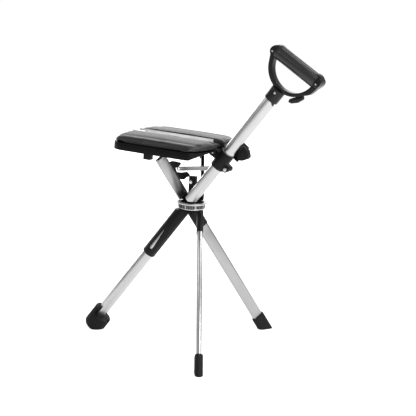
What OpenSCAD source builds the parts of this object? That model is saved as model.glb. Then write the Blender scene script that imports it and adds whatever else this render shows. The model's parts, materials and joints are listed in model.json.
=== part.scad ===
// Folding seat cane: a tubular cane that opens into a three-legged stool.
// Three members cross in a hub knot. Each turns on its own radial pin.

/* [Stance] */
// Lean of each member from upright when the stool stands
tilt = 36.4; // [35.8:0.2:37]
// Height of the three hub pins above the floor
pin_z = 340; // [334:2:346]
// Distance from the hub axis to each member's axis
knot_r = 19.5; // [19:0.25:20.5]

/* [Cane] */
// Diameter of the upper tube
tube_d = 28; // [27.4:0.2:28.4]
// Wall of the round tubes
tube_wall = 1.6; // [1.2:0.2:2]
// Diameter of the main leg's tube
leg_d = 26; // [25.4:0.2:26.4]
// Length of the upper tube above the hub pins
tube_top = 350; // [344:2:356]
// Diameter of the handle's collar
neck_d = 34; // [33.2:0.2:34.4]
// Height of the handle's collar along the cane
neck_h = 28; // [26:1:32]

/* [Handle] */
// Distance from the hub pins to the grip's axis
grip_s = 427; // [424:1:430]
// Length of the grip
grip_l = 112; // [108:1:114]
// Diameter of the grip
grip_d = 34; // [34:0.5:35.5]
// Diameter of the bar inside the grip
bar_d = 18; // [16:1:20]
// Thickness of the handle's loop across the cane
loop_t = 19; // [17:0.5:20]
// Diameter of the rounded ends that hold the grip
boss_d = 33.5; // [32.5:0.5:34]
// Lean of the grip across the cane
grip_lean = 5; // [0:1:6]

/* [Hub] */
// Outer diameter of the ribbed ring
ring_d = 63.5; // [63:0.5:66]
// Height of the ribbed ring
ring_h = 13; // [12:0.5:14]
// Wall of the ribbed ring
ring_wall = 2.4; // [2:0.2:2.6]
// Diameter of the flange on the ring
flange_d = 70.5; // [69:0.5:74]
// Thickness of the flange
flange_t = 2.5; // [2:0.5:3]
// Diameter of each hub pin
pin_d = 8; // [7:0.5:8.5]
// Height of the hub's upright post above the pins
post_h = 62; // [54:1:64]

/* [Legs] */
// Width of the flat legs
flat_w = 28; // [26:1:29]
// Thickness of the flat legs
flat_t = 12; // [11:0.5:13]
// Width of the flat struts
strut_w = 27; // [25:1:29]
// Thickness of the flat struts
strut_t = 7; // [6:0.5:8]
// Length of the struts above the hub pins
strut_top = 133; // [128:1:134]
// Wall of the black sockets
socket_wall = 3; // [2.4:0.2:3.2]
// Length of the main leg's socket below the hub pins
socket_a_l = 163; // [150:1:170]
// Length of the flat legs' sockets below the hub pins
socket_f_l = 78; // [70:1:90]

/* [Collar] */
// Distance from the hub pins to the seat pin along the cane
seat_pin_s = 143; // [141:1:145]
// Distance from the cane's axis to the seat pin
seat_pin_t = 26; // [25:0.5:28]
// Height of the sliding collar
collar_h = 44; // [40:1:46]
// Wall of the sliding collar
collar_wall = 3.2; // [2.6:0.2:3.4]
// Width between the collar's ears and the seat's ears
ear_w = 24; // [22:1:25]
// Diameter of the seat pin
seat_pin_d = 6; // [5:0.5:7]
// Length of the stay bar between its eyes
link_l = 135; // [128:1:138]

/* [Seat] */
// Length of the seat from front to rear
seat_l = 230; // [226:1:234]
// Half of the seat's width
seat_half_w = 117; // [112:1:120]
// Half of the slot between the two pads
slot_half = 17.5; // [17:0.25:18.5]
// Length of the seat behind its pin
seat_tail = 14; // [12:1:15]
// Rise of the seat's front, in degrees
seat_rise = 1.4; // [1:0.2:1.8]
// Height of the pan's rim
rim_h = 17; // [16:0.5:18]
// Thickness of the pan's board
board_t = 4; // [3:0.5:5]
// Thickness of the pan's rim
rim_t = 4; // [3:0.5:5]
// Height of each pad over its pan
pad_h = 19; // [17:1:21]
// Depth of the channel along each pad
channel_depth = 2.4; // [1.5:0.1:3]
// Distance of the channel from the seat's centre
channel_v = 88; // [84:1:92]
// Fall of each pad from the slot to its outer side
pad_fall = 5; // [3:0.5:6]
// Thickness of the rails along the slot
rail_t = 1.6; // [1.2:0.2:1.8]

/* [Fits] */
// Radial clearance of a turning pin
run_gap = 0.06; // [0.05:0.01:0.09]
// Clearance between moving parts
clear_gap = 0.4; // [0.35:0.05:0.6]

/* [Hidden] */
$fn = 64;

tube_r = tube_d / 2;
leg_r = leg_d / 2;
pin_r = pin_d / 2;
ring_r = ring_d / 2;
ring_in = ring_r - ring_wall;
socket_r = leg_r + socket_wall;
neck_t = 8;
neck_w = 14;
neck_in = ring_in - 16.5;
neck_out = neck_in + neck_t;
neck_mid = (neck_in + neck_out) / 2 - knot_r;
ring_low = ring_h + 0.5;
core_top = pin_r + 1.2;
foot_w = flat_w + 6;
foot_t = flat_t + 7;
socket_drop = ring_low + 1.3;
tube_rise = 10;
foot_s = pin_z / cos(tilt);
seat_pin_x = seat_pin_s * sin(tilt) - seat_pin_t * cos(tilt);
seat_pin_z = pin_z + seat_pin_s * cos(tilt) + seat_pin_t * sin(tilt);
board_z = seat_pin_z + 3.5;
pad_z = board_z + board_t;
rear_x = seat_pin_x + seat_tail;
front_x = rear_x - seat_l;
collar_r = tube_r + collar_wall;
collar_s = seat_pin_s - 24;
lug_s = seat_pin_s - 12;
lug_t = collar_r + 4;
stay_y = collar_r + 1.2;
stay_t = 3.4;
stay_angle = 46;
AZ_MAIN = -90;
AZ_FRONT = 30;
AZ_REAR = 150;
mid_x = 29.023;
mid_y = 9.754;
nest_gap = 0.05;
cup_r = 4;
cup_spots = [[-grip_l / 2 - 7, grip_s - 9], [grip_l / 2 + 6, grip_s + 4]];
loop_r = grip_l / 2 + 7;
loop_w = 9;
neck_screw_x = neck_d / 2 - 0.9;
cup_x = boss_d / 2 - 1.6;
clip_drop = 14;
foot_r = 25.5;
foot_h = 58;
foot_shift = 4.5;
foot_lift = 6;
rail_top = pad_z + pad_h - 5;
rail_in = slot_half - 0.1 - rail_t;

// Everything is drawn about the hub axis, then set over the middle of its own footprint
module placed() { translate([-mid_x, -mid_y, 0]) children(); }
// Frame of one member: X points out along its pin, Z runs up the member
module on_member(az) {
  placed() translate([0, 0, pin_z]) rotate([0, 0, az]) translate([knot_r, 0, 0]) rotate([-tilt, 0, 0]) children();
}
// Frame of the hub, at the height of its pins
module on_hub() { placed() translate([0, 0, pin_z]) children(); }
// Frame of the seat, on the cane's own plane, still upright
module on_seat() {
  placed() translate([seat_pin_x, -knot_r, seat_pin_z]) rotate([0, seat_rise, 0])
    translate([-seat_pin_x, 0, -seat_pin_z]) children();
}

module oval_bar(w, t, z0, z1) {
  translate([0, 0, z0]) linear_extrude(z1 - z0) {
    square([t, w - t], center = true);
    for (s = [-1, 1]) translate([0, s * (w - t) / 2]) circle(d = t);
  }
}
module pipe(r_out, r_in, z0, z1) {
  translate([0, 0, z0]) difference() {
    cylinder(r = r_out, h = z1 - z0);
    translate([0, 0, -1]) cylinder(r = r_in, h = z1 - z0 + 2);
  }
}
// Half space above the hub as the stool stands, in a member's frame
module above_hub(rise) {
  rotate([tilt, 0, 0]) translate([-100, -200, rise]) cube([200, 400, 600]);
}
// Half space below the hub as the stool stands, in a member's frame
module below_hub(drop) {
  rotate([tilt, 0, 0]) translate([-200, -300, -drop - 700]) cube([400, 600, 700]);
}

// Cane
module upper_tube() {
  on_member(AZ_MAIN) color("silver") intersection() {
    pipe(tube_r, tube_r - tube_wall, tube_rise, tube_top);
    above_hub(core_top + 2.3);
  }
}
module neck_plate(z0, z1) {
  difference() {
    translate([neck_mid - neck_t / 2, -neck_w / 2, z0]) cube([neck_t, neck_w, z1 - z0]);
    rotate([0, 90, 0]) translate([0, 0, -40]) cylinder(r = pin_r + run_gap, h = 80);
  }
}
module main_leg_neck() {
  on_member(AZ_MAIN) color([0.07, 0.07, 0.08]) {
    neck_plate(-34, 26);
    translate([0, 0, 24]) cylinder(r = tube_r - tube_wall - nest_gap, h = 40);
    translate([0, 0, -74]) cylinder(r = leg_r - tube_wall - nest_gap, h = 40);
  }
}
module main_leg_socket() {
  on_member(AZ_MAIN) color([0.08, 0.08, 0.09]) difference() {
    intersection() {
      translate([0, 0, -socket_a_l]) cylinder(r = socket_r, h = socket_a_l - socket_drop);
      below_hub(socket_drop);
    }
    translate([0, 0, -socket_a_l - 1]) cylinder(r = leg_r + nest_gap, h = socket_a_l - 33);
    translate([neck_mid - neck_t / 2, -neck_w / 2, -36]) cube([neck_t, neck_w, 40]);
    hull() {
      translate([0, -2, -86]) rotate([0, 90, 0]) cylinder(r = 1.6, h = 30, $fn = 32);
      translate([0, 0, -142]) rotate([0, 90, 0]) cylinder(r = 5, h = 30, $fn = 32);
    }
  }
}
module main_leg_tube() {
  on_member(AZ_MAIN) color("silver") pipe(leg_r, leg_r - tube_wall, -foot_s + 26, -34);
}
// Round cup foot whose rim stands higher at the back, cut level with the floor
module main_foot() {
  on_member(AZ_MAIN) color([0.06, 0.06, 0.07]) difference() {
    intersection() {
      translate([0, foot_shift, -foot_s + foot_lift]) rotate_extrude() polygon(concat(
        [[0, 0]], [for (a = [0:15:90]) [foot_r - 12 + 12 * sin(a), 12 - 12 * cos(a)]],
        [for (a = [0:30:90]) [foot_r - 3 + 3 * cos(a), foot_h - 3 + 3 * sin(a)]], [[0, foot_h]]));
      rotate([tilt, 0, 0]) translate([-200, -200 - foot_s * sin(tilt), -pin_z]) cube([400, 600, 300]);
    }
    translate([-foot_h, foot_shift - 11, -foot_s + foot_lift + foot_h - 18]) cube([2 * foot_h, 2 * foot_h, foot_h]);
    translate([0, 0, -foot_s + 26]) cylinder(r = leg_r + nest_gap, h = 60);
    translate([0, foot_shift + foot_r - 2, -foot_s + 22]) cylinder(r = 5, h = 60);
  }
}
module main_foot_plug() {
  on_member(AZ_MAIN) color([0.1, 0.1, 0.11]) translate([0, 0, -foot_s + 26])
    cylinder(r = leg_r - tube_wall - nest_gap, h = 24);
}

// Handle
module on_grip() {
  on_member(AZ_MAIN) translate([0, 0, grip_s]) rotate([grip_lean, 0, 0]) children();
}
module loop_outer() {
  hull() {
    translate([0, grip_s - 6]) intersection() {
      circle(r = loop_r, $fn = 96);
      translate([-loop_r, -2 * loop_r]) square(2 * loop_r);
    }
    for (p = [[2 - grip_l / 2, grip_s - 5, 16], [grip_l / 2 - 7, grip_s - 19, 17], [grip_l / 2 - 1, grip_s + 6, 16]])
      translate([p[0], p[1]]) circle(r = p[2], $fn = 32);
  }
}
module loop_inner() {
  translate([1, grip_s - 6]) circle(r = loop_r - loop_w, $fn = 96);
}
// The loop's outline as a plate of a given thickness
module loop_plate(t) {
  on_member(AZ_MAIN) translate([-t / 2, 0, 0]) rotate([90, 0, 90]) linear_extrude(t) loop_outer();
}
module handle_loop() {
  color([0.09, 0.09, 0.1]) difference() {
    union() {
      loop_plate(loop_t);
      on_member(AZ_MAIN) translate([0, 0, tube_top - 22]) cylinder(d = neck_d, h = neck_h + 3);
      intersection() {
        loop_plate(boss_d);
        on_grip() rotate([90, 0, 0]) cylinder(d = boss_d, h = 2 * grip_l, center = true);
      }
    }
    difference() {
      on_member(AZ_MAIN) translate([-loop_t, 0, 0]) rotate([90, 0, 90]) linear_extrude(2 * loop_t) loop_inner();
      on_grip() rotate([90, 0, 0]) cylinder(d = bar_d - 2 * nest_gap, h = grip_l, center = true);
    }
    on_grip() rotate([90, 0, 0]) pipe(grip_d / 2 + 0.1, bar_d / 2 - nest_gap, -grip_l / 2, grip_l / 2);
    on_member(AZ_MAIN) translate([0, 0, tube_top - 30]) cylinder(r = tube_r + nest_gap, h = 30);
    on_member(AZ_MAIN) for (p = cup_spots)
      translate([cup_x, p[0], p[1]]) rotate([0, 90, 0]) cylinder(r = cup_r + nest_gap, h = 5);
    on_member(AZ_MAIN) translate([neck_screw_x, 2, tube_top + 1]) rotate([0, 90, 0]) cylinder(r = 3, h = 5);
  }
}
// Smooth grip with shallow flutes along its upper side
module grip() {
  on_grip() color([0.2, 0.2, 0.21]) rotate([90, 0, 0]) difference() {
    pipe(grip_d / 2, bar_d / 2, -grip_l / 2, grip_l / 2);
    for (a = [20:40:160]) rotate([0, 0, a]) translate([grip_d / 2 + 1.6, 0, -grip_l / 2 + 5]) cylinder(r = 2.4, h = grip_l - 10);
  }
}
module grip_end_caps() {
  on_member(AZ_MAIN) color([0.12, 0.12, 0.13]) for (p = cup_spots)
    translate([cup_x, p[0], p[1]]) rotate([0, 90, 0]) pipe(cup_r, 2.3, 0, 1.2);
}
module handle_screws() {
  on_member(AZ_MAIN) color("silver") {
    for (p = cup_spots)
      translate([cup_x, p[0], p[1]]) rotate([0, 90, 0]) cylinder(r = 2.2, h = 1);
    translate([neck_screw_x, 2, tube_top + 1]) rotate([0, 90, 0]) cylinder(r = 2.6, h = 1.6);
  }
}
module handle_hook() {
  on_member(AZ_MAIN) color([0.08, 0.08, 0.09]) difference() {
    translate([-7, 0, 0]) rotate([90, 0, 90]) linear_extrude(14)
      polygon([[33, tube_top + 10], [36, tube_top + 3], [44, tube_top + 6], [54, tube_top + 17], [59, tube_top + 31],
        [53, tube_top + 37], [38, tube_top + 18]]);
    translate([-loop_t / 2, 0, 0]) rotate([90, 0, 90]) linear_extrude(loop_t) loop_outer();
  }
}

// Hub
module hub_core() {
  on_hub() color([0.07, 0.07, 0.08]) {
    translate([0, 0, -7]) cylinder(r = neck_in - 0.5, h = 7 + core_top);
    for (az = [AZ_MAIN, AZ_FRONT, AZ_REAR]) rotate([0, 0, az]) rotate([0, 90, 0]) cylinder(r = pin_r, h = ring_in - 1);
  }
}
module hub_ring() {
  on_hub() color([0.12, 0.12, 0.13]) difference() {
    union() {
      translate([0, 0, -ring_low]) cylinder(r = ring_r - 0.8, h = ring_h);
      for (i = [0:59]) rotate([0, 0, i * 6]) translate([ring_r - 1.2, -0.6, -ring_low + 3]) cube([1, 1.2, ring_h - 6]);
    }
    translate([0, 0, -ring_low - 1]) cylinder(r = ring_in, h = ring_h + 2);
    for (az = [AZ_MAIN, AZ_FRONT, AZ_REAR]) rotate([0, 0, az]) translate([0, -5.5, -9]) cube([ring_in + 1, 11, 12]);
  }
}
module hub_ring_bands() {
  on_hub() color("silver") {
    for (z = [-ring_low, -3]) translate([0, 0, z]) pipe(ring_r, ring_r - 0.8 + nest_gap, 0, 2.5);
  }
}
module hub_flange() {
  on_hub() color([0.55, 0.56, 0.58]) difference() {
    union() {
      translate([0, 0, -0.5]) pipe(flange_d / 2, ring_in - 2, 0, flange_t);
      for (az = [AZ_MAIN, AZ_FRONT, AZ_REAR]) rotate([0, 0, az])
        translate([neck_out + 1, -5.5, -9]) cube([ring_in - neck_out, 11, 8.6]);
    }
    for (az = [AZ_MAIN, AZ_FRONT, AZ_REAR]) rotate([0, 0, az]) rotate([0, 90, 0]) cylinder(r = pin_r, h = ring_in - 1);
  }
}
module hub_post() {
  on_hub() color([0.06, 0.06, 0.07]) difference() {
    translate([-9, -3, core_top]) cube([17, 10, post_h - core_top]);
    translate([-4, 20, post_h - 14]) rotate([90, 0, 0]) cylinder(r = 2.5, h = 40);
  }
}
module hub_rivets() {
  on_hub() color("silver") {
    translate([-4, 7.8, post_h - 14]) rotate([90, 0, 0]) cylinder(r = 2.5, h = 11.6);
    translate([-4, -3, post_h - 14]) rotate([90, 0, 0]) cylinder(r = 4.4, h = 1.2);
    for (a = [70, 190, 310]) rotate([0, 0, a]) translate([flange_d / 2 - 4.5, 0, flange_t - 0.5])
      cylinder(r = 2.4, h = 1.2);
  }
}

// Flat legs: az picks the pin
module leg_neck(az) {
  on_member(az) color([0.07, 0.07, 0.08]) {
    neck_plate(-30, 20);
    oval_bar(flat_w - 4, flat_t - 3, -60, -30);
  }
}
module leg_strut(az) {
  on_member(az) color([0.72, 0.73, 0.75]) intersection() {
    translate([neck_mid + neck_t / 2, -strut_w / 2, pin_r + 3]) cube([strut_t, strut_w, strut_top - pin_r - 3]);
    above_hub(flange_t + 1.5);
  }
}
module strut_shoe(az) {
  on_member(az) color([0.06, 0.06, 0.07]) translate([neck_mid + neck_t / 2 - 3, -strut_w / 2 + 3, strut_top - 13])
    cube([3, strut_w - 6, 12]);
}
module strut_rivets(az) {
  on_member(az) color("silver") for (z = [28, 36]) translate([neck_mid + neck_t / 2 + strut_t, 0, z])
    rotate([0, 90, 0]) cylinder(r = 2.4, h = 1.2);
}
module leg_socket(az) {
  on_member(az) color([0.08, 0.08, 0.09]) difference() {
    intersection() {
      oval_bar(flat_w + 3, flat_t + 2.6, -socket_f_l, -socket_drop);
      below_hub(socket_drop);
    }
    oval_bar(flat_w, flat_t, -socket_f_l - 1, -44);
    oval_bar(flat_w - 4, flat_t - 3, -61, -30);
    translate([neck_mid - neck_t / 2, -neck_w / 2, -31]) cube([neck_t, neck_w, 40]);
  }
}
module leg_tube(az) {
  on_member(az) color("silver") difference() {
    oval_bar(flat_w, flat_t, -foot_s + 24, -44);
    oval_bar(flat_w - 4, flat_t - 3, -foot_s + 20, -40);
  }
}
module leg_foot(az) {
  on_member(az) color([0.06, 0.06, 0.07]) difference() {
    intersection() {
      oval_bar(foot_w, foot_t, -foot_s - 16, -foot_s + 44);
      rotate([tilt, 0, 0]) translate([-200, -500, -pin_z]) cube([400, 800, 60]);
    }
    oval_bar(flat_w, flat_t, -foot_s + 24, -foot_s + 80);
  }
}
module strut_bracket() {
  on_member(AZ_REAR) color([0.06, 0.06, 0.07]) translate([neck_mid + neck_t / 2 - 4, 0, 0])
    rotate([90, 0, 90]) linear_extrude(4) polygon([[-12.5, 56], [-17, 52], [-21.5, 49], [-29, 49], [-38, 45],
      [-39, 52], [-37, 59], [-24, 67.5], [-15, 77], [-17, 87], [-22, 85], [-31, 84.5], [-35, 87], [-35, 89], [-31, 94],
      [-27, 99], [-19, 107], [-12.5, 109]]);
}

// Sliding collar
module collar() {
  on_member(AZ_MAIN) color([0.07, 0.07, 0.08]) difference() {
    union() {
      translate([0, 0, collar_s]) cylinder(r = collar_r, h = collar_h);
      translate([-ear_w / 2, -seat_pin_t, seat_pin_s - 9]) cube([ear_w, seat_pin_t, 18]);
      translate([-ear_w / 2, -seat_pin_t, seat_pin_s]) rotate([0, 90, 0]) cylinder(r = 9, h = ear_w);
      translate([-stay_y, 6, lug_s - 7]) cube([stay_y + 10, lug_t - 6, 14]);
      translate([-stay_y, lug_t, lug_s]) rotate([0, 90, 0]) cylinder(r = 7, h = stay_y + 10);
      translate([-stay_y - 3, 0, collar_s + collar_h - 14]) cube([10, 12, 14]);
    }
    translate([0, 0, collar_s - 1]) cylinder(r = tube_r + 1.4, h = collar_h + 2);
    translate([-30, -seat_pin_t, seat_pin_s]) rotate([0, 90, 0]) cylinder(r = seat_pin_d / 2, h = 60);
    translate([-30, lug_t, lug_s]) rotate([0, 90, 0]) cylinder(r = 2.5, h = 60);
    translate([-40, 6, collar_s + collar_h - 6]) rotate([0, 90, 0]) cylinder(r = 2.5, h = 24);
  }
}
module collar_liner() {
  on_member(AZ_MAIN) color([0.3, 0.3, 0.32])
    pipe(tube_r + 1.4, tube_r + run_gap, collar_s, collar_s + collar_h);
}
module seat_pin() {
  on_member(AZ_MAIN) color("silver") translate([-slot_half + 0.5, -seat_pin_t, seat_pin_s]) rotate([0, 90, 0])
    cylinder(r = seat_pin_d / 2, h = 2 * slot_half - 1);
}
module stay_pin() {
  on_member(AZ_MAIN) color("silver") {
    translate([-stay_y - stay_t - clear_gap, lug_t, lug_s]) rotate([0, 90, 0])
      cylinder(r = 2.5, h = stay_y + stay_t + clear_gap + 10);
    translate([10, lug_t, lug_s]) rotate([0, 90, 0]) cylinder(r = 4.2, h = 1.4);
  }
}
// Stay bar on the far side of the cane, drawn from the collar's lug
module stay_bar() {
  on_member(AZ_MAIN) translate([-stay_y - stay_t - clear_gap / 2, lug_t, lug_s]) rotate([-stay_angle, 0, 0])
    color([0.6, 0.61, 0.63]) difference() {
      union() {
        translate([0, -5, -link_l]) cube([stay_t, 10, link_l]);
        for (z = [0, -link_l]) translate([0, 0, z]) rotate([0, 90, 0]) cylinder(r = 5, h = stay_t);
      }
      for (z = [0, -link_l]) translate([-1, 0, z]) rotate([0, 90, 0]) cylinder(r = 2.5 + run_gap, h = stay_t + 2);
    }
}
// Thumb lever: an arm on the far side with a tongue that curls round the cane
module release_lever() {
  on_member(AZ_MAIN) color([0.09, 0.09, 0.1]) difference() {
    union() {
      translate([-stay_y - 7, 0, collar_s + collar_h - 11]) cube([3.6, 24, 46]);
      translate([-stay_y - 7, 6, seat_pin_s + 23]) rotate([90, 0, 90]) linear_extrude(18)
        polygon([[1, 6], [15, -1], [23, -2], [30, 4], [36, 15], [34, 20], [25, 27], [15, 31], [1, 29]]);
    }
    translate([0, 0, collar_s]) cylinder(r = neck_d / 2 + 1, h = 200);
    translate([-40, 6, collar_s + collar_h - 6]) rotate([0, 90, 0]) cylinder(r = 2.5 + run_gap, h = 22);
  }
}
module lever_pin() {
  on_member(AZ_MAIN) color("silver") translate([-stay_y - 8, 6, collar_s + collar_h - 6]) rotate([0, 90, 0])
    cylinder(r = 2.5, h = 8);
}

// Seat
module seat_hinge_bracket() {
  on_seat() color([0.55, 0.56, 0.58]) difference() {
    union() {
      translate([seat_pin_x - 14, -slot_half, board_z + 8]) cube([20, 2 * slot_half, 6]);
      for (s = [-1, 1]) translate([seat_pin_x, s > 0 ? ear_w / 2 + clear_gap : -slot_half, 0]) {
        translate([-9, 0, seat_pin_z]) cube([17, slot_half - ear_w / 2 - clear_gap, 15]);
        translate([0, 0, seat_pin_z]) rotate([-90, 0, 0]) cylinder(r = 8.5, h = slot_half - ear_w / 2 - clear_gap);
      }
    }
    translate([seat_pin_x, -40, seat_pin_z]) rotate([-90, 0, 0]) cylinder(r = seat_pin_d / 2 + run_gap, h = 80);
  }
}
module seat_front_bridge() {
  on_seat() color([0.72, 0.73, 0.75]) translate([front_x + 6, -rail_in, board_z])
    cube([24, 2 * rail_in, rail_top - board_z]);
}
// Light rails that line the slot
module seat_slot_rails() {
  on_seat() color([0.72, 0.73, 0.75]) for (s = [-1, 1])
    translate([front_x + 6, s > 0 ? rail_in : -rail_in - rail_t, board_z])
      cube([seat_pin_x - 16 - front_x - 6, rail_t, rail_top - board_z]);
}
// Half width of the seat at a place x along it, measured from the seat's centre
function corner(q) = sqrt(max(0, 1 - q * q));
function edge_v(x, inset) =
  let (f = front_x + inset, r = rear_x - inset, w = seat_half_w - inset, fr = 36 - inset, ra = 36 - inset, rb = seat_half_w - 29 - inset)
  x < f + fr ? w - fr + fr * corner((f + fr - x) / fr)
  : x > r - ra ? w - rb + rb * corner((x - r + ra) / ra)
  : w;
// The slot side of a half, rounded off at the front
function inner_v(x, inset) =
  let (f = front_x + inset, fi = 22 - inset)
  x < f + fi ? slot_half + fi - fi * corner((f + fi - x) / fi) : slot_half;
function inner_line(inset, n) = [for (i = [n:-1:0])
  let (x = front_x + inset + (22 - inset) * (1 - cos(90 * i / n))) [x, inner_v(x, inset)]];
function outline(inset, n) = [for (i = [0:n])
  let (x = front_x + inset + (rear_x - front_x - 2 * inset) * (1 - cos(180 * i / n)) / 2) [x, edge_v(x, inset)]];
module pan_plan(inset) {
  polygon(concat(outline(inset, 24), [[rear_x - inset, slot_half]], inner_line(inset, 5)));
}
module pan_far() {
  on_seat() color([0.05, 0.05, 0.06]) difference() {
    translate([0, 0, board_z + board_t - rim_h]) linear_extrude(rim_h) pan_plan(0);
    translate([0, 0, board_z + board_t - rim_h - 1]) linear_extrude(rim_h - board_t + 1)
      polygon(concat(outline(rim_t, 24), [[rear_x - rim_t, slot_half - 1], [front_x + 22, slot_half - 1],
        [front_x + rim_t + 4, slot_half + 12]]));
    translate([rear_x - 26, 0, board_z + board_t - rim_h]) rotate([0, -30, 0]) translate([-20, 0, -60]) cube([120, 200, 60]);
  }
}
module pan_near() { translate([0, 2 * (-mid_y - knot_r), 0]) mirror([0, 1, 0]) pan_far(); }

// Height of a pad's top at x, v: rounded rims, a low crown and one channel
function rim_drop(d, r) = d >= r ? 0 : r - sqrt(max(0, r * r - (r - d) * (r - d)));
function pad_top(x, v) =
  let (e = edge_v(x, 1), b = inner_v(x, 0), d_out = max(0, e - v), d_in = max(0, v - b), d_front = x - front_x - 1,
    d_rear = rear_x - 1 - x, across = (v - slot_half) / (seat_half_w - slot_half),
    crown = 2 * sin(180 * min(1, max(0, (v - b) / max(1, e - b)))) * sin(180 * (x - front_x) / seat_l),
    dip = channel_depth * exp(-pow((v - channel_v) / 6, 2)) + 0.5 * channel_depth * exp(-pow((v - slot_half - 13) / 4, 2)))
  pad_z + pad_h - 2 - pad_fall * across - rim_drop(d_out, 13) - rim_drop(d_in, 4) - rim_drop(d_front, 9)
    - rim_drop(d_rear, 8) + crown - dip;
function pad_ring(x, m) =
  let (e = edge_v(x, 1), b = inner_v(x, 0), line = [for (j = [0:m]) b + (e - b) * (1 - cos(180 * j / m)) / 2])
  concat([for (j = [0:m]) [x, line[j], max(pad_z + 1.5, pad_top(x, line[j]))]],
    [for (j = [m:-1:0]) [x, line[j], pad_z]]);
module pad_far() {
  n = 26;
  m = 20;
  k = 2 * m + 2;
  pts = [for (i = [0:n]) each pad_ring(front_x + 1.2 + (seat_l - 2.2) * (1 - cos(180 * i / n)) / 2, m)];
  quads = [for (i = [0:n - 1]) for (j = [0:k - 1]) let (a = i * k + j, b = i * k + (j + 1) % k) each
    [[a, a + k, b], [b, a + k, b + k]]];
  cap_a = [for (j = [0:m - 1]) each [[j, j + 1, k - 1 - j], [j + 1, k - 2 - j, k - 1 - j]]];
  cap_b = [for (f = cap_a) [n * k + f[0], n * k + f[2], n * k + f[1]]];
  on_seat() color([0.16, 0.16, 0.17]) polyhedron(points = pts, faces = concat(quads, cap_a, cap_b));
}
module pad_near() { translate([0, 2 * (-mid_y - knot_r), 0]) mirror([0, 1, 0]) pad_far(); }
module seat_clip() {
  on_seat() color([0.2, 0.2, 0.21]) translate([front_x + 87, -seat_half_w + 8, board_z + board_t - rim_h - clip_drop])
    cube([18, 16, rim_h - board_t + clip_drop]);
}
module seat_screws() {
  on_seat() color("silver") for (s = [-1, 1]) for (x = [front_x + 30, rear_x - 50])
    translate([x, s * 50, board_z - 2]) cylinder(r = 3.5, h = 2);
}

upper_tube();
main_leg_neck();
main_leg_socket();
main_leg_tube();
main_foot();
main_foot_plug();
handle_loop();
grip();
grip_end_caps();
handle_screws();
handle_hook();
hub_core();
hub_ring();
hub_ring_bands();
hub_flange();
hub_post();
hub_rivets();
leg_neck(AZ_FRONT);  // front_leg_neck
leg_strut(AZ_FRONT);  // front_leg_strut
strut_shoe(AZ_FRONT);  // front_strut_shoe
leg_socket(AZ_FRONT);  // front_leg_socket
leg_tube(AZ_FRONT);  // front_leg_tube
leg_foot(AZ_FRONT);  // front_foot
leg_neck(AZ_REAR);  // rear_leg_neck
leg_strut(AZ_REAR);  // rear_leg_strut
strut_shoe(AZ_REAR);  // rear_strut_shoe
leg_socket(AZ_REAR);  // rear_leg_socket
leg_tube(AZ_REAR);  // rear_leg_tube
leg_foot(AZ_REAR);  // rear_foot
strut_rivets(AZ_FRONT);  // strut_rivets_front
strut_rivets(AZ_REAR);  // strut_rivets_rear
strut_bracket();
collar();
collar_liner();
seat_pin();
stay_pin();
stay_bar();
release_lever();
lever_pin();
seat_hinge_bracket();
seat_front_bridge();
seat_slot_rails();
pan_near();
pan_far();
pad_near();
pad_far();
seat_clip();
seat_screws();
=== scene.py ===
import json
import logging
import math
from dataclasses import dataclass
from enum import Enum
from typing import Callable, ClassVar, Sequence

import bpy
import numpy as np
from mathutils import Matrix, Vector


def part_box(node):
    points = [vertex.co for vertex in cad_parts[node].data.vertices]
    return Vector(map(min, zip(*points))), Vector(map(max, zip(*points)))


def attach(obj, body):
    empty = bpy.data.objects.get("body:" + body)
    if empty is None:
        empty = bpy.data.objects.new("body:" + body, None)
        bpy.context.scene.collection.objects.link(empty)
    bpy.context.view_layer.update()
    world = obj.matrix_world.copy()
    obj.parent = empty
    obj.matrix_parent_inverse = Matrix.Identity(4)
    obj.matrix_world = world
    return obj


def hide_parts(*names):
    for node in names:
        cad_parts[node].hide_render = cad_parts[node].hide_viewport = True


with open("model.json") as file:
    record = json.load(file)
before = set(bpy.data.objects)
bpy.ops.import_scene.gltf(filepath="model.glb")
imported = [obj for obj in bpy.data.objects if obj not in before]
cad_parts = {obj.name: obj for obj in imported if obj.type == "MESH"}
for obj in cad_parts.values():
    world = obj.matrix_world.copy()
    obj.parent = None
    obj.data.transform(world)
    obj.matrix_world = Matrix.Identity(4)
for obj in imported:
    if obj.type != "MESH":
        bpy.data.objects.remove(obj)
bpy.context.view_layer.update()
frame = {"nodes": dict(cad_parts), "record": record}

LOG = logging.getLogger("seat_cane")
MM = 0.001
LEAN = math.radians(36.4)
SEAT_RISE = math.radians(1.4)
KNOT = 19.5 * MM
PIN_Z = 340 * MM
MIDDLE = Vector((29.023, 9.754, 0)) * MM
MERGE = 1e-6
COPY_MERGE = 2e-6
FLAT = math.radians(0.6)
SHARP = math.radians(34)
CREASE = math.radians(40)
SOFT_CREASE = math.radians(70)
WHITE = (1, 1, 1, 1)

Tone = tuple[float, float, float]
Colour = tuple[float, float, float, float]


class Member(Enum):
    """The three members that cross in the hub, by the azimuth of their pins in degrees."""

    CANE = -90
    FRONT = 30
    REAR = 150

    def frame(self) -> Matrix:
        """Gives the member's own frame.

        Returns:
            The frame with X out along the member's pin, Z up the member and its origin at the pin.
        """
        return (
            Matrix.Translation(-MIDDLE + Vector((0, 0, PIN_Z)))
            @ Matrix.Rotation(math.radians(self.value), 4, "Z")
            @ Matrix.Translation((KNOT, 0, 0))
            @ Matrix.Rotation(-LEAN, 4, "X")
        )


class Edge(Enum):
    """How wide the edges of a solid are rounded, in millimetres."""

    HAIRLINE = 0.15
    CRISP = 0.3
    FINE = 0.6
    SOFT = 1.4
    LOOP = 1.45
    ROUND = 2.6
    PAN = 3.4
    TONGUE = 4.0


# Blender bench work


def deselect() -> None:
    """Leaves object mode with nothing selected."""
    if bpy.context.object and bpy.context.object.mode != "OBJECT":
        bpy.ops.object.mode_set(mode="OBJECT")
    bpy.ops.object.select_all(action="DESELECT")


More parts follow.
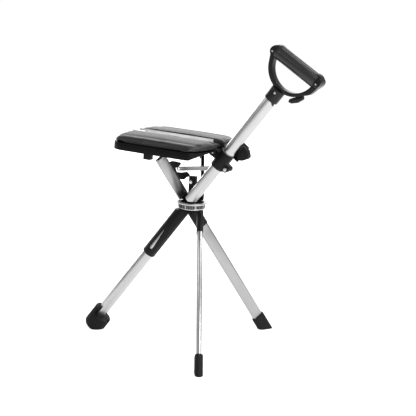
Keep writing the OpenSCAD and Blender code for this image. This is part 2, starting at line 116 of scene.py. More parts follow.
def pick(piece: bpy.types.Object) -> None:
    """Selects one piece alone and makes it active.

    Args:
        piece: The piece to pick.
    """
    deselect()
    piece.select_set(True)
    bpy.context.view_layer.objects.active = piece


def apply_modifiers(piece: bpy.types.Object) -> None:
    """Applies the piece's modifiers in order.

    Args:
        piece: The piece whose modifiers are applied.
    """
    pick(piece)
    for name in [m.name for m in piece.modifiers]:
        bpy.ops.object.modifier_apply(modifier=name)


def close_up(piece: bpy.types.Object) -> None:
    """Merges doubled points and turns the faces outwards.

    Args:
        piece: The piece to close.
    """
    pick(piece)
    bpy.ops.object.mode_set(mode="EDIT")
    bpy.ops.mesh.select_all(action="SELECT")
    bpy.ops.mesh.remove_doubles(threshold=MERGE)
    bpy.ops.mesh.normals_make_consistent(inside=False)
    bpy.ops.object.mode_set(mode="OBJECT")


def smooth(piece: bpy.types.Object, crease: float) -> None:
    """Shades the piece smooth, with creases past an angle in radians."""
    pick(piece)
    bpy.ops.object.shade_smooth_by_angle(angle=crease)


def bevel(piece: bpy.types.Object, edge: Edge, segments: int) -> None:
    """Rounds the sharp edges of a piece.

    Args:
        piece: The piece whose edges are rounded.
        edge: How wide the round is.
        segments: How many faces cross the round.
    """
    rounder = piece.modifiers.new("rounded_edges", "BEVEL")
    rounder.width = edge.value * MM
    rounder.segments = segments
    rounder.limit_method = "ANGLE"
    rounder.angle_limit = SHARP
    rounder.use_clamp_overlap = True
    apply_modifiers(piece)


def select_faces(piece: bpy.types.Object, test: Callable[[Vector, Vector], bool]) -> None:
    """Selects faces by their place and direction, and goes into edit mode.

    Args:
        piece: The piece whose faces are chosen.
        test: Says yes or no from a face's centre and normal.
    """
    pick(piece)
    bpy.ops.object.mode_set(mode="EDIT")
    bpy.ops.mesh.select_mode(type="FACE")
    bpy.ops.mesh.select_all(action="DESELECT")
    bpy.ops.object.mode_set(mode="OBJECT")
    for face in piece.data.polygons:
        face.select = test(face.center, face.normal)
    bpy.ops.object.mode_set(mode="EDIT")


def copy_of(node: str, name: str) -> bpy.types.Object:
    """Copies a CAD solid into a new piece.

    Args:
        node: The CAD node.
        name: The new piece's name.

    Returns:
        The new piece, with its own mesh.
    """
    deselect()
    piece = bpy.data.objects.new(name, frame["nodes"][node].data.copy())
    bpy.context.scene.collection.objects.link(piece)
    return piece


# Shader bench work


@dataclass
class Bench:
    """Lays out the nodes of one tree, a material's or a group's."""

    tree: bpy.types.NodeTree

    def plug(self, slot: bpy.types.NodeSocket, value: object) -> None:
        """Feeds an input.

        Args:
            slot: The input.
            value: A socket to link to it, or a plain value.
        """
        if isinstance(value, bpy.types.NodeSocket):
            self.tree.links.new(value, slot)
        else:
            slot.default_value = value

    def add(self, kind: str, settings: dict | None = None, **values: object) -> bpy.types.Node:
        """Adds a node.

        Args:
            kind: The node's type.
            settings: Properties set on the node.
            **values: Values or sockets for its inputs, by name with underscores for spaces, or by number
                as i0 and i1.

        Returns:
            The new node.
        """
        node = self.tree.nodes.new(kind)
        for key, value in (settings or {}).items():
            setattr(node, key, value)
        for key, value in values.items():
            numbered = key[0] == "i" and key[1:].isdigit()
            self.plug(node.inputs[int(key[1:]) if numbered else key.replace("_", " ")], value)
        return node

    def effect(self, tree: bpy.types.NodeTree, **values: object) -> bpy.types.bpy_prop_collection:
        """The outputs of a shared effect that is placed here."""
        return self.add("ShaderNodeGroup", {"node_tree": tree}, **values).outputs

    def math(self, operation: str, first: object, second: object = 0.0) -> bpy.types.NodeSocket:
        """The output of a math node."""
        return self.add("ShaderNodeMath", {"operation": operation}, i0=first, i1=second).outputs[0]

    def noise(self, place: bpy.types.NodeSocket, scale: object, detail: float) -> bpy.types.NodeSocket:
        """The value of a noise texture."""
        return self.add("ShaderNodeTexNoise", None, Vector=place, Scale=scale, Detail=detail).outputs["Fac"]

    def span(
        self, value: object, low: float, high: float, start: float = 0.0, end: float = 1.0
    ) -> bpy.types.NodeSocket:
        """A value moved from one range to another, clamped."""
        ends = {"From_Min": low, "From_Max": high, "To_Min": start, "To_Max": end}
        return self.add("ShaderNodeMapRange", None, Value=value, **ends).outputs["Result"]

    def mix(self, amount: object, first: object, second: object) -> bpy.types.NodeSocket:
        """A mix of two colours."""
        node = self.add("ShaderNodeMix", {"data_type": "RGBA"}, i0=amount, i6=first, i7=second)
        return node.outputs[2]


def new_group(name: str, takes: Sequence[str], gives: Sequence[str]) -> tuple[Bench, dict, bpy.types.Node]:
    """Starts a shared effect.

    Args:
        name: The group's name.
        takes: Input names. The one called Vector is a vector, and the others are numbers.
        gives: Output names, all of them numbers.

    Returns:
        The group's bench, its input sockets by name, and its output node.
    """
    tree = bpy.data.node_groups.new(name, "ShaderNodeTree")
    for way, titles in (("INPUT", takes), ("OUTPUT", gives)):
        for title in titles:
            kind = "NodeSocketVector" if title == "Vector" else "NodeSocketFloat"
            tree.interface.new_socket(name=title, in_out=way, socket_type=kind)
    bench = Bench(tree)
    source = bench.add("NodeGroupInput")
    return bench, {s.name: s for s in source.outputs if s.name}, bench.add("NodeGroupOutput")


class Effects:
    """The effects that several finishes share, each a node group that is built once.

    The scales are in cells per metre, and each span is the part of a noise or slope that the effect
    is read over.
    """

    SLOW_SCALE: ClassVar[float] = 38.0
    SLOW_SPAN: ClassVar[tuple[float, float]] = (0.3, 0.7)
    LINE_STRETCH: ClassVar[float] = 0.012
    LINE_SHARE: ClassVar[float] = 0.6
    CLOUD_SCALE: ClassVar[float] = 24.0
    CLOUD_SHARE: ClassVar[float] = 0.4
    DRAWN_SPAN: ClassVar[tuple[float, float]] = (0.35, 0.65)
    EDGE_SPAN: ClassVar[tuple[float, float]] = (0.52, 0.62)
    EDGE_PATCH_SCALE: ClassVar[float] = 160.0
    EDGE_PATCH_SPAN: ClassVar[tuple[float, float]] = (0.4, 0.62)
    FACING_SPAN: ClassVar[tuple[float, float]] = (0.2, 1.0)
    FILM_SCALE: ClassVar[float] = 55.0
    FILM_SPAN: ClassVar[tuple[float, float]] = (0.35, 0.75)
    FILM_LEAST: ClassVar[float] = 0.2
    WARP_SCALE: ClassVar[float] = 220.0
    WARP_REACH: ClassVar[float] = 0.0016
    CELL_SOFTNESS: ClassVar[float] = 0.35
    CREASE_SPAN: ClassVar[tuple[float, float]] = (0.28, 0.62)

    def __init__(self) -> None:
        """Builds every group."""
        self.grain = self._grain()
        self.drawn = self._drawn()
        self.wear_and_highlight = self._wear_and_highlight()
        self.dust = self._dust()
        self.pebble = self._pebble()

    def _grain(self) -> bpy.types.NodeTree:
        """Fine moulded grain.

        Returns:
            The group, which gives a height and a slow variation of tone.
        """
        bench, takes, out = new_group("moulded_grain", ("Vector", "Scale"), ("Height", "Tone"))
        slow = bench.noise(takes["Vector"], self.SLOW_SCALE, 4.0)
        bench.plug(out.inputs["Height"], bench.noise(takes["Vector"], takes["Scale"], 3.0))
        bench.plug(out.inputs["Tone"], bench.span(slow, *self.SLOW_SPAN))
        return bench.tree

    def _drawn(self) -> bpy.types.NodeTree:
        """Fine lines along Z, as drawing leaves them on a tube.

        Returns:
            The group, which gives the lines' height and a tone of lines and slow cloud.
        """
        bench, takes, out = new_group("drawn_lines", ("Vector", "Scale"), ("Height", "Tone"))
        longer = (1, 1, self.LINE_STRETCH)
        stretch = bench.add("ShaderNodeMapping", None, Vector=takes["Vector"], Scale=longer)
        lines = bench.noise(stretch.outputs[0], takes["Scale"], 5.0)
        cloud = bench.noise(takes["Vector"], self.CLOUD_SCALE, 3.0)
        line_part = bench.math("MULTIPLY", lines, self.LINE_SHARE)
        both = bench.math("ADD", line_part, bench.math("MULTIPLY", cloud, self.CLOUD_SHARE))
        bench.plug(out.inputs["Height"], lines)
        bench.plug(out.inputs["Tone"], bench.span(both, *self.DRAWN_SPAN))
        return bench.tree

    def _wear_and_highlight(self) -> bpy.types.NodeTree:
        """Rubbed edges, lightened as wear and as a painted highlight.

        Returns:
            The group, which gives one where the surface stands out, broken up by noise.
        """
        bench, takes, out = new_group("rubbed_and_highlit_edges", ("Vector", "Amount"), ("Mask",))
        # Standing edges are picked out here, to be painted lighter as wear and as a highlight.
        edge = bench.span(bench.add("ShaderNodeNewGeometry").outputs["Pointiness"], *self.EDGE_SPAN)
        patch = bench.span(bench.noise(takes["Vector"], self.EDGE_PATCH_SCALE, 4.0), *self.EDGE_PATCH_SPAN)
        broken = bench.math("MULTIPLY", edge, patch)
        bench.plug(out.inputs["Mask"], bench.math("MULTIPLY", broken, takes["Amount"]))
        return bench.tree

    def _dust(self) -> bpy.types.NodeTree:
        """A thin settled film.

        Returns:
            The group, which gives one where the surface faces up, broken up by noise.
        """
        bench, takes, out = new_group("settled_film", ("Vector", "Amount"), ("Mask",))
        normal = bench.add("ShaderNodeNewGeometry").outputs["Normal"]
        up = bench.add("ShaderNodeSeparateXYZ", None, Vector=normal).outputs["Z"]
        patch = bench.noise(takes["Vector"], self.FILM_SCALE, 6.0)
        patch = bench.span(patch, *self.FILM_SPAN, self.FILM_LEAST)
        film = bench.math("MULTIPLY", bench.span(up, *self.FACING_SPAN), patch)
        bench.plug(out.inputs["Mask"], bench.math("MULTIPLY", film, takes["Amount"]))
        return bench.tree

    def _pebble(self) -> bpy.types.NodeTree:
        """Pebbled cover grain.

        Returns:
            The group, which gives rounded cells as a height, and the creases between them.
        """
        bench, takes, out = new_group("pebbled_cover", ("Vector", "Scale"), ("Height", "Crease"))
        place = takes["Vector"]
        warp = bench.add("ShaderNodeTexNoise", None, Vector=place, Scale=self.WARP_SCALE, Detail=2.0)
        warp = warp.outputs["Color"]
        offset = bench.add("ShaderNodeVectorMath", {"operation": "SCALE"}, i0=warp, Scale=self.WARP_REACH)
        moved = bench.add("ShaderNodeVectorMath", {"operation": "ADD"}, i0=place, i1=offset.outputs[0])
        cells = bench.add(
            "ShaderNodeTexVoronoi",
            {"feature": "SMOOTH_F1"},
            Vector=moved.outputs[0],
            Scale=takes["Scale"],
            Smoothness=self.CELL_SOFTNESS,
        )
        crease = bench.span(cells.outputs["Distance"], *self.CREASE_SPAN)
        bench.plug(out.inputs["Height"], bench.math("SUBTRACT", 1.0, crease))
        bench.plug(out.inputs["Crease"], crease)
        return bench.tree


@dataclass(frozen=True)
class Finish:
    """What every finish has: its name, its tone and how it takes the light."""

    name: str
    tone: Tone
    roughness: float
    spread: float = 0.06
    bump: float = 0.0
    scale: float = 900.0
    # How strongly standing edges are lightened, as wear and as a painted highlight.
    rubbed_and_highlit: float = 0.15
    film: float = 0.015
    specular: float = 0.22
    relief: ClassVar[float] = 0.3
    darker: ClassVar[float] = 0.86
    lighter: ClassVar[float] = 1.16
    # How much lighter the edges are painted, as wear and as a highlight.
    worn_and_highlit: ClassVar[float] = 2.6

    def begin(self) -> tuple[bpy.types.Material, Bench, bpy.types.Node, bpy.types.NodeSocket]:
        """Starts the material.

        Returns:
            The material, its bench, its shader, and the object coordinates.
        """
        material = bpy.data.materials.new(self.name)
        material.use_nodes = True
        bench = Bench(material.node_tree)
        shader = material.node_tree.nodes["Principled BSDF"]
        place = bench.add("ShaderNodeTexCoord").outputs["Object"]
        return material, bench, shader, place

    def shade(self, factor: float) -> Colour:
        """The tone made lighter or darker, as an opaque colour."""
        return tuple(min(1.0, c * factor) for c in self.tone) + (1.0,)

    def mottled(self, bench: Bench, amount: object) -> bpy.types.NodeSocket:
        """The tone, varied a little between its darker and its lighter shade."""
        return bench.mix(amount, self.shade(self.darker), self.shade(self.lighter))

    def settle(
        self, bench: Bench, shader: bpy.types.Node, tone: object, vary: object, height: object
    ) -> None:
        """Links what every finish ends with: its tone, its roughness and its bump.

        Args:
            bench: The material's bench.
            shader: The material's shader.
            tone: The colour.
            vary: What moves the roughness within its spread, from 0 to 1.
            height: The height that the bump reads.
        """
        rough = bench.span(vary, 0.0, 1.0, self.roughness - self.spread, self.roughness + self.spread)
        relief = self.relief * MM
        bump = bench.add("ShaderNodeBump", None, Strength=self.bump, Distance=relief, Height=height)
        bench.plug(shader.inputs["Base Color"], tone)
        bench.plug(shader.inputs["Roughness"], rough)
        bench.plug(shader.inputs["Specular IOR Level"], self.specular)
        bench.plug(shader.inputs["Normal"], bump.outputs[0])


@dataclass(frozen=True)
class Moulded(Finish):
    """Moulded plastic or rubber with fine grain, edges lightened as wear and as a painted highlight, and a
    thin film.
    """

    film_tone: ClassVar[Colour] = (0.3, 0.3, 0.3, 1)

    def make(self, effects: Effects) -> bpy.types.Material:
        """Makes the material.

        Args:
            effects: The shared effects.

        Returns:
            The material.
        """
        material, bench, shader, place = self.begin()
        grain = bench.effect(effects.grain, Vector=place, Scale=self.scale)
        wear_and_highlight = bench.effect(effects.wear_and_highlight, Vector=place, Amount=self.rubbed_and_highlit)
        dust = bench.effect(effects.dust, Vector=place, Amount=self.film)
        # Edges painted lighter, as wear and as a highlight.
        tone = bench.mix(wear_and_highlight["Mask"], self.mottled(bench, grain["Tone"]), self.shade(self.worn_and_highlit))
        tone = bench.mix(dust["Mask"], tone, self.film_tone)
        self.settle(bench, shader, tone, grain["Tone"], grain["Height"])
        return material


@dataclass(frozen=True)
class DrawnMetal(Finish):
    """Satin drawn metal whose fine lines run along one member."""

    specular: float = 0.5
    member: Member = Member.CANE
    relief: ClassVar[float] = 0.1
    darker: ClassVar[float] = 0.93
    lighter: ClassVar[float] = 1.05
    worn_and_highlit: ClassVar[float] = 1.2

    def make(self, effects: Effects) -> bpy.types.Material:
        """Makes the material.

        Args:
            effects: The shared effects.

        Returns:
            The material.
        """
        material, bench, shader, place = self.begin()
        inward = self.member.frame().inverted()
        turn = bench.add(
            "ShaderNodeMapping",
            {"vector_type": "POINT"},
            Vector=place,
            Location=inward.to_translation(),
            Rotation=inward.to_euler("XYZ"),
        )
        drawn = bench.effect(effects.drawn, Vector=turn.outputs[0], Scale=self.scale)
        wear_and_highlight = bench.effect(effects.wear_and_highlight, Vector=place, Amount=self.rubbed_and_highlit)
        # Edges painted lighter, as wear and as a highlight.
        tone = bench.mix(wear_and_highlight["Mask"], self.mottled(bench, drawn["Tone"]), self.shade(self.worn_and_highlit))
        bench.plug(shader.inputs["Metallic"], 1.0)
        self.settle(bench, shader, tone, drawn["Tone"], drawn["Height"])
        return material


@dataclass(frozen=True)
class PlainMetal(Finish):
    """Bright or dull steel for pins, screws, bands and plates."""

    specular: float = 0.5
    metallic: float = 1.0
    relief: ClassVar[float] = 0.1
    darker: ClassVar[float] = 0.88
    lighter: ClassVar[float] = 1.08
    worn_and_highlit: ClassVar[float] = 1.3

    def make(self, effects: Effects) -> bpy.types.Material:
        """Makes the material.

        Args:
            effects: The shared effects.

        Returns:
            The material.
        """
        material, bench, shader, place = self.begin()
        grain = bench.effect(effects.grain, Vector=place, Scale=self.scale)
        wear_and_highlight = bench.effect(effects.wear_and_highlight, Vector=place, Amount=self.rubbed_and_highlit)
        # Edges painted lighter, as wear and as a highlight.
        tone = bench.mix(wear_and_highlight["Mask"], self.mottled(bench, grain["Tone"]), self.shade(self.worn_and_highlit))
        bench.plug(shader.inputs["Metallic"], self.metallic)
        self.settle(bench, shader, tone, grain["Tone"], grain["Height"])
        return material


@dataclass(frozen=True)
class PebbledCover(Finish):
    """The pads' soft cover: pebbled grain with its creases painted darker as shade, and a thin film."""

    fine_scale: ClassVar[float] = 2400.0
    fine_share: ClassVar[float] = 0.3
    film_tone: ClassVar[Colour] = (0.34, 0.34, 0.34, 1)
    relief: ClassVar[float] = 0.4
    darker: ClassVar[float] = 0.85
    lighter: ClassVar[float] = 1.2
    # How dark the creases between the pebbles are painted, as shade.
    shade_in_crease: ClassVar[float] = 0.55

    def make(self, effects: Effects) -> bpy.types.Material:
        """Makes the material.

        Args:
            effects: The shared effects.

        Returns:
            The material.
        """
        material, bench, shader, place = self.begin()
        pebble = bench.effect(effects.pebble, Vector=place, Scale=self.scale)
        grain = bench.effect(effects.grain, Vector=place, Scale=self.fine_scale)
        dust = bench.effect(effects.dust, Vector=place, Amount=self.film)
        # Painted shade: the creases between the pebbles are darkened.
        tone = bench.mix(pebble["Crease"], self.mottled(bench, grain["Tone"]), self.shade(self.shade_in_crease))
        tone = bench.mix(dust["Mask"], tone, self.film_tone)
        height = bench.math("ADD", pebble["Height"], bench.math("MULTIPLY", grain["Height"], self.fine_share))
        self.settle(bench, shader, tone, pebble["Crease"], height)
        return material


@dataclass(frozen=True)
class RibbedBand(Finish):
    """The hub ring's black band, with bright ribs and wider bars cut into it round the hub's axis.

    The lengths are in millimetres, and each pair is where a fade starts and ends.
    """

    ribs: int = 40
    bars: int = 8
    rib_span: ClassVar[tuple[float, float]] = (0.1, 0.8)
    rib_share: ClassVar[float] = 0.55
    bar_span: ClassVar[tuple[float, float]] = (0.9, 0.97)
    reach: ClassVar[tuple[float, float]] = (28.5, 29.2)
    half_width: ClassVar[tuple[float, float]] = (3.6, 4.2)
    below_pin: ClassVar[float] = 7
    cut_tone: ClassVar[Colour] = (0.62, 0.62, 0.63, 1)
    relief: ClassVar[float] = 0.5

    def cut(self, bench: Bench, place: bpy.types.NodeSocket) -> bpy.types.NodeSocket:
        """Marks the ribs and bars.

        Args:
            bench: The material's bench.
            place: The object coordinates.

        Returns:
            One on the ribs and bars, and none elsewhere.
        """
        parts = bench.add("ShaderNodeSeparateXYZ", None, Vector=place).outputs
        across = bench.math("ADD", parts["X"], MIDDLE.x)
        along = bench.math("ADD", parts["Y"], MIDDLE.y)
        angle = bench.math("ARCTAN2", along, across)
        ribs = bench.span(bench.math("SINE", bench.math("MULTIPLY", angle, self.ribs)), *self.rib_span)
        bars = bench.span(bench.math("COSINE", bench.math("MULTIPLY", angle, self.bars)), *self.bar_span)
        squares = [bench.math("MULTIPLY", side, side) for side in (across, along)]
        near, far = (length * MM for length in self.reach)
        outer = bench.span(bench.math("SQRT", bench.math("ADD", *squares)), near, far)
        level = bench.math("ABSOLUTE", bench.math("SUBTRACT", parts["Z"], PIN_Z - self.below_pin * MM))
        full, gone = (length * MM for length in self.half_width)
        middle = bench.span(level, full, gone, 1.0, 0.0)
        bright = bench.math("MAXIMUM", bench.math("MULTIPLY", ribs, self.rib_share), bars)
        return bench.math("MULTIPLY", bench.math("MULTIPLY", bright, outer), middle)

    def make(self, effects: Effects) -> bpy.types.Material:
        """Makes the material.

        Args:
            effects: The shared effects.

        Returns:
            The material.
        """
        material, bench, shader, place = self.begin()
        bright = self.cut(bench, place)
        grain = bench.effect(effects.grain, Vector=place, Scale=self.scale)
        tone = bench.mix(bright, self.mottled(bench, grain["Tone"]), self.cut_tone)
        bench.plug(shader.inputs["Metallic"], bright)
        self.settle(bench, shader, tone, grain["Tone"], bright)
        return material


FINISHES: tuple[Finish, ...] = (
    # The three satin tubes are one metal, painted lighter or darker for the light on each: the cane lightest,
    # the front tube in painted shade, the rear tube in deeper painted shade.
    DrawnMetal("satin_tube_cane", (0.7, 0.7, 0.7), 0.27, 0.05, 0.12, 2600, member=Member.CANE),
    DrawnMetal("satin_tube_front", (0.62, 0.62, 0.62), 0.3, 0.05, 0.12, 2600, member=Member.FRONT),
    DrawnMetal("satin_tube_rear", (0.52, 0.52, 0.52), 0.34, 0.05, 0.12, 2600, member=Member.REAR),
    DrawnMetal("dark_strut", (0.03, 0.03, 0.032), 0.4, 0.05, 0.12, 2600, member=Member.FRONT),
    Moulded("black_nylon", (0.006, 0.006, 0.0065), 0.42, 0.06, 0.25, 1500),
    Moulded("handle_nylon", (0.006, 0.006, 0.0065), 0.3, 0.05, 0.12, 1300, specular=0.4),
    Moulded("grip_rubber", (0.012, 0.012, 0.0125), 0.32, 0.05, 0.2, 1100, specular=0.8),
    Moulded("foot_rubber", (0.009, 0.009, 0.0095), 0.58, 0.07, 0.5, 900, film=0.04),
    RibbedBand("ring_rubber", (0.008, 0.008, 0.0085), 0.36, 0.05, 0.4, 1600, specular=0.35),
    Moulded("pan_nylon", (0.004, 0.004, 0.0045), 0.4, 0.06, 0.2, 1200, specular=0.15),
    Moulded("liner_nylon", (0.2, 0.2, 0.21), 0.5, 0.05, 0.2, 1500),
    Moulded("light_rail", (0.86, 0.86, 0.86), 0.4, 0.05, 0.1, 1500, rubbed_and_highlit=0.0, specular=0.4),
    PlainMetal("bright_steel", (0.78, 0.79, 0.8), 0.22, 0.05, 0.1, 2200),
    PlainMetal("grey_plate", (0.5, 0.505, 0.51), 0.4, 0.06, 0.15, 1800, metallic=0.9),
    PebbledCover("pad_cover", (0.012, 0.012, 0.0125), 0.42, 0.05, 0.3, 620, film=0.01, specular=0.6),
)


class Workshop:
    """Holds the finishes and turns solids and new pieces into finished ones."""

    def __init__(self) -> None:
        """Makes every finish once."""
        effects = Effects()
        self.materials = {finish.name: finish.make(effects) for finish in FINISHES}
        record = frame["record"]
        self.body_of = {n: b for b, nodes in record["behaviour"]["bodies"].items() for n in nodes}
        self.slot_of = {p["node"]: p["material_slot"] for p in record["subparts"]}

    def dress(self, piece: bpy.types.Object, finish: str, node: str) -> None:
        """Gives a piece its finish, and the body of the CAD node that it replaces.

        Args:
            piece: The finished mesh, at its place in the row frame.
            finish: The finish's name.
            node: The CAD node.
        """
        piece.data.materials.clear()
        piece.data.materials.append(self.materials[finish])
        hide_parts(node)
        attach(piece, self.body_of[node])
        faces = len(piece.data.polygons)
        LOG.info("%s: %s on %s, %d faces", piece.name, finish, self.body_of[node], faces)

    def finished(self, node: str, finish: str, edge: Edge, segments: int = 2) -> bpy.types.Object:
        """Puts a copy of a CAD solid, with its edges rounded, in place of the node.

        Args:
            node: The CAD node.
            finish: The finish's name.
            edge: How wide the edges are rounded.
            segments: How many faces cross each round.

        Returns:
            The piece.
        """
        piece = copy_of(node, f"{node}_finished")
        pick(piece)
        bpy.ops.object.mode_set(mode="EDIT")
        bpy.ops.mesh.select_all(action="SELECT")
        bpy.ops.mesh.remove_doubles(threshold=COPY_MERGE)
        bpy.ops.mesh.dissolve_limited(angle_limit=FLAT)
        bpy.ops.object.mode_set(mode="OBJECT")
        bevel(piece, edge, segments)
        smooth(piece, CREASE)
        self.dress(piece, finish, node)
        return piece


@dataclass
class Assembly:
    """A sub-assembly whose solids are finished as they are."""

    shop: Workshop

    def rows(self) -> tuple[tuple, ...]:
        """The solids, each with its finish, its edge and, where it isn't 2, the faces across the round."""
        raise NotImplementedError

    def build(self) -> None:
        """Builds and dresses the sub-assembly."""
        for row in self.rows():
            self.shop.finished(*row)


@dataclass
class SplitSeat(Assembly):
    """The two padded halves of the seat, their pans and the rails between them, in millimetres."""

    voxel: float = 3.6
    swell: float = 2.2
    rail_lift: float = 2.5
    looks_up: float = 0.9
    past_box: float = 1.5
    softening: float = 0.5
    soft_rounds: int = 5
    pressure: float = 4
    cloth_quality: int = 5
    cloth_frames: int = 12

    def rows(self) -> tuple[tuple, ...]:
        """The seat's bracket, bridge, clip and screws."""
        return (
            ("seat_hinge_bracket", "black_nylon", Edge.FINE),
            ("seat_front_bridge", "satin_tube_cane", Edge.SOFT),
            ("seat_clip", "black_nylon", Edge.SOFT),
            ("seat_screws", "bright_steel", Edge.CRISP),
        )

    def build(self) -> None:
        """Builds and dresses the seat."""
        for side in ("near", "far"):
            self.pad(side)
            self.shop.finished(f"pan_{side}", "pan_nylon", Edge.PAN, 3)
        super().build()
        self.rails()

    def rails(self) -> None:
        """Makes the light rails along the slot, drawn up until they stand level with the pads."""
        piece = self.shop.finished("seat_slot_rails", "light_rail", Edge.CRISP)
        low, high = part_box("seat_slot_rails")
        middle = (low + high) / 2
        slope = math.tan(SEAT_RISE)

        def on_top(centre: Vector, normal: Vector) -> bool:
            """Whether a face looks up and lies above the rails' sloping middle."""
            return normal.z > self.looks_up and centre.z > middle.z - slope * (centre.x - middle.x)

        select_faces(piece, on_top)
        bpy.ops.transform.translate(value=(0, 0, self.rail_lift * MM))
        deselect()

    def pad(self, side: str) -> None:
        """Makes one pad, swollen a little under its cover.

        Args:
            side: near or far.
        """
        node = f"pad_{side}"
        low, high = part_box(node)
        piece = copy_of(node, f"{node}_cushion")
        close_up(piece)
        remesh = piece.modifiers.new("cells", "REMESH")
        remesh.mode = "VOXEL"
        remesh.voxel_size = self.voxel * MM
        apply_modifiers(piece)
        soften = piece.modifiers.new("soften", "SMOOTH")
        soften.factor = self.softening
        soften.iterations = self.soft_rounds
        apply_modifiers(piece)
        self.inflate(piece)
        finer = piece.modifiers.new("finer", "SUBSURF")
        finer.levels = finer.render_levels = 1
        apply_modifiers(piece)
        points = np.zeros(len(piece.data.vertices) * 3)
        piece.data.vertices.foreach_get("co", points)
        points = points.reshape(-1, 3)
        past = self.past_box * MM
        np.clip(points, np.array(low) - [past, 0.0, 0.0], np.array(high) + past, out=points)
        points[:, 2] = np.maximum(points[:, 2], low.z)
        piece.data.vertices.foreach_set("co", points.ravel())
        smooth(piece, SOFT_CREASE)
        self.shop.dress(piece, "pad_cover", node)

    def inflate(self, piece: bpy.types.Object) -> None:
        """Swells a pad with a short cloth run, with each point's travel capped.

        Args:
            piece: The pad.
        """
        rest = np.zeros(len(piece.data.vertices) * 3)
        piece.data.vertices.foreach_get("co", rest)
        cloth = piece.modifiers.new("cover", "CLOTH")
        cloth.settings.use_pressure = True
        cloth.settings.uniform_pressure_force = self.pressure
        cloth.settings.effector_weights.gravity = 0
        cloth.settings.quality = self.cloth_quality
        scene = bpy.context.scene
        for step in range(1, self.cloth_frames + 1):
            scene.frame_set(step)
        apply_modifiers(piece)
        scene.frame_set(1)
        moved = np.zeros_like(rest)
        piece.data.vertices.foreach_get("co", moved)
        travel = (moved - rest).reshape(-1, 3)
        length = np.maximum(np.linalg.norm(travel, axis=1), 1e-9)
        travel *= np.minimum(1, self.swell * MM / length)[:, None]
        piece.data.vertices.foreach_set("co", (rest.reshape(-1, 3) + travel).ravel())


@dataclass
class Handle(Assembly):
    """The D handle: its loop, grip, screws and hook."""

    def rows(self) -> tuple[tuple, ...]:
        """The handle's solids."""
        return (
            ("handle_loop", "handle_nylon", Edge.LOOP, 3),
            ("grip", "grip_rubber", Edge.SOFT),
            ("grip_end_caps", "black_nylon", Edge.CRISP),
            ("handle_screws", "bright_steel", Edge.FINE),
            ("handle_hook", "handle_nylon", Edge.ROUND, 3),
        )


@dataclass
class Shaft(Assembly):
    """The cane's tubes, the flat neck through the hub, its socket and the foot."""

    def rows(self) -> tuple[tuple, ...]:
        """The shaft's solids."""
        return (
            ("upper_tube", "satin_tube_cane", Edge.CRISP),
            ("main_leg_tube", "satin_tube_cane", Edge.CRISP),
            ("main_leg_neck", "black_nylon", Edge.FINE),
            ("main_leg_socket", "black_nylon", Edge.SOFT),
            ("main_foot", "foot_rubber", Edge.ROUND),
            ("main_foot_plug", "black_nylon", Edge.FINE),
        )


@dataclass
class Hub(Assembly):
    """The round hub: core, ribbed ring, bright bands, flange, post and rivets."""

    def rows(self) -> tuple[tuple, ...]:
        """The hub's solids."""
        return (
            ("hub_core", "black_nylon", Edge.CRISP),
            ("hub_ring", "ring_rubber", Edge.HAIRLINE),
            ("hub_ring_bands", "bright_steel", Edge.CRISP),
            ("hub_flange", "grey_plate", Edge.CRISP),
            ("hub_post", "black_nylon", Edge.SOFT),
            ("hub_rivets", "bright_steel", Edge.CRISP),
        )


@dataclass
class FoldingLeg(Assembly):
    """One flat leg with its neck, strut, socket and foot."""

    side: str
    member: Member

    def rows(self) -> tuple[tuple, ...]:
        """Lists the leg's solids.

        Returns:
            The rows of one leg. The rear one also has a stepped bracket.
        """
        # The tube finish carries this side's painted light and shade.
        lit_and_shaded_satin = f"satin_tube_{self.side}"
        rear = self.member is Member.REAR
        bracket = (("strut_bracket", "black_nylon", Edge.SOFT),) if rear else ()
        return (
            (f"{self.side}_leg_neck", "black_nylon", Edge.FINE),
            (f"{self.side}_leg_strut", lit_and_shaded_satin if rear else "dark_strut", Edge.SOFT),
            (f"{self.side}_strut_shoe", lit_and_shaded_satin if rear else "black_nylon", Edge.SOFT),
            (f"{self.side}_leg_socket", "black_nylon", Edge.FINE),
            (f"{self.side}_leg_tube", lit_and_shaded_satin, Edge.CRISP),
            (f"{self.side}_foot", "foot_rubber", Edge.ROUND),
            (f"strut_rivets_{self.side}", "bright_steel", Edge.CRISP),
        ) + bracket


@dataclass
class SlidingCollar(Assembly):
    """The collar on the cane with its pins, liner, stay bar and release lever."""

    def rows(self) -> tuple[tuple, ...]:
        """The collar's solids."""
        return (
            ("collar", "black_nylon", Edge.SOFT),
            ("collar_liner", "liner_nylon", Edge.CRISP),
            ("seat_pin", "bright_steel", Edge.FINE),
            ("stay_pin", "bright_steel", Edge.FINE),
            ("lever_pin", "bright_steel", Edge.FINE),
            ("stay_bar", "grey_plate", Edge.FINE),
            ("release_lever", "black_nylon", Edge.TONGUE),
        )


@dataclass(frozen=True)
class Lamp:
    """A broad soft lamp: its place and width in metres, and its power in watts."""

    name: str
    place: tuple[float, float, float]
    width: float
    power: float


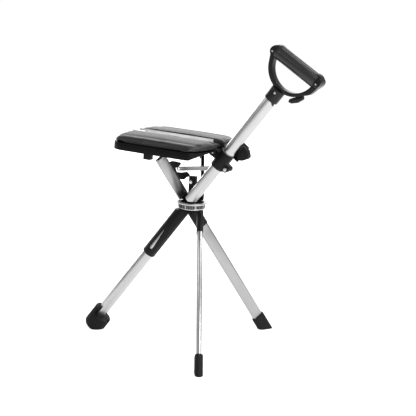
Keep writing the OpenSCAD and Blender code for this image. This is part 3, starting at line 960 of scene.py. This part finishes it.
@dataclass
class Studio:
    """The pale floor, the soft lamps and the camera.

    The angles are in degrees, the distance in metres, and the lens, the sensor and the target in millimetres.
    """

    azimuth: float = 25.9
    elevation: float = 11.3
    roll: float = 3.08
    distance: float = 3.5
    lens: float = 130.07
    sensor: float = 36
    target: tuple[float, float, float] = (43.0, 0.0, 332.1)
    ambient: float = 0.34
    mirrored: float = 0.22
    floor_width: float = 30
    floor_drop: float = 0.5
    floor_seen: float = 0.7
    floor_mirrored: float = 0.2
    floor_tones: tuple[Colour, Colour] = ((0.9, 0.9, 0.9, 1), (0.93, 0.93, 0.93, 1))
    aim: tuple[float, float, float] = (0, 0, 0.35)
    lights: tuple[Lamp, ...] = (
        Lamp("key_lamp", (2.6, -1.2, 1.6), 1.6, 42),
        Lamp("fill_lamp", (-2.2, -1.6, 2.6), 1.4, 14),
        Lamp("back_lamp", (-1.2, 2.6, 1.2), 2.2, 30),
        Lamp("rim_lamp", (-2.6, 1.9, 0.8), 1.2, 14),
        Lamp("top_lamp", (1.3, 0.9, 2.6), 1.8, 34),
    )

    def build(self) -> None:
        """Sets up the whole studio."""
        bpy.context.scene.view_settings.view_transform = "Standard"
        self.camera()
        self.floor()
        self.world()
        self.lamps()

    def camera(self) -> None:
        """Sets the camera at the photograph's angle."""
        azimuth, elevation, roll = (math.radians(v) for v in (self.azimuth, self.elevation, self.roll))
        back = Vector((
            math.sin(azimuth) * math.cos(elevation),
            -math.cos(azimuth) * math.cos(elevation),
            math.sin(elevation),
        ))
        level = Vector((math.cos(azimuth), math.sin(azimuth), 0))
        rise = back.cross(level)
        right = math.cos(roll) * level + math.sin(roll) * rise
        up = -math.sin(roll) * level + math.cos(roll) * rise
        place = Matrix((right, up, back)).transposed().to_4x4()
        place.translation = Vector(self.target) * MM - MIDDLE + back * self.distance
        data = bpy.data.cameras.new("photo_camera")
        data.sensor_width = self.sensor
        data.lens = self.lens
        data.clip_end = 50
        eye = bpy.data.objects.new("photo_camera", data)
        bpy.context.scene.collection.objects.link(eye)
        eye.matrix_world = place
        bpy.context.scene.camera = eye

    def floor(self) -> None:
        """Lays a wide pale floor that shows white to the camera and keeps the shadow."""
        deselect()
        bpy.ops.mesh.primitive_plane_add(size=self.floor_width, location=(0, 0, -self.floor_drop * MM))
        floor = bpy.context.object
        floor.name = floor.data.name = "pale_floor"
        bpy.ops.object.transform_apply(location=True, rotation=True, scale=True)
        material = bpy.data.materials.new("pale_floor")
        material.use_nodes = True
        bench = Bench(material.node_tree)
        shader = material.node_tree.nodes["Principled BSDF"]
        grain = bench.noise(bench.add("ShaderNodeTexCoord").outputs["Object"], 9.0, 2.0)
        path = bench.add("ShaderNodeLightPath").outputs
        mirrored = bench.math("MULTIPLY", path["Is Glossy Ray"], self.floor_mirrored)
        seen = bench.math("MAXIMUM", bench.math("MULTIPLY", path["Is Camera Ray"], self.floor_seen), mirrored)
        for title, value in (
            ("Base Color", bench.mix(grain, *self.floor_tones)),
            ("Roughness", 0.9),
            ("Specular IOR Level", 0.1),
            ("Emission Color", WHITE),
            ("Emission Strength", seen),
        ):
            bench.plug(shader.inputs[title], value)
        floor.data.materials.append(material)

    def world(self) -> None:
        """Sets a world that is white to the camera and through clear things, and softer as light."""
        world = bpy.data.worlds.new("soft_white")
        bpy.context.scene.world = world
        world.use_nodes = True
        world.node_tree.nodes.clear()
        bench = Bench(world.node_tree)
        path = bench.add("ShaderNodeLightPath").outputs
        seen = bench.math("MAXIMUM", path["Is Camera Ray"], path["Is Transmission Ray"])
        mirrored = bench.math("MULTIPLY", path["Is Glossy Ray"], self.mirrored)
        strength = bench.math("MAXIMUM", bench.math("MAXIMUM", seen, mirrored), self.ambient)
        sky = bench.add("ShaderNodeBackground", None, Color=WHITE, Strength=strength)
        bench.add("ShaderNodeOutputWorld", None, i0=sky.outputs[0])

    def lamps(self) -> None:
        """Hangs the lamps, each turned to the seat cane's middle."""
        for light in self.lights:
            data = bpy.data.lights.new(light.name, "AREA")
            data.energy = light.power
            data.size = light.width
            lamp = bpy.data.objects.new(light.name, data)
            bpy.context.scene.collection.objects.link(lamp)
            lamp.location = light.place
            lamp.rotation_euler = (Vector(self.aim) - Vector(light.place)).to_track_quat("-Z", "Y").to_euler()


def main() -> None:
    """Builds the seat cane's looks and its studio."""
    logging.basicConfig(level=logging.INFO, format="%(name)s %(message)s")
    shop = Workshop()
    assemblies: tuple[Assembly | Studio, ...] = (
        Shaft(shop),
        Handle(shop),
        Hub(shop),
        FoldingLeg(shop, "front", Member.FRONT),
        FoldingLeg(shop, "rear", Member.REAR),
        SlidingCollar(shop),
        SplitSeat(shop),
        Studio(),
    )
    for assembly in assemblies:
        LOG.info("building %s", type(assembly).__name__)
        assembly.build()
    deselect()


if __name__ == "__main__":
    main()
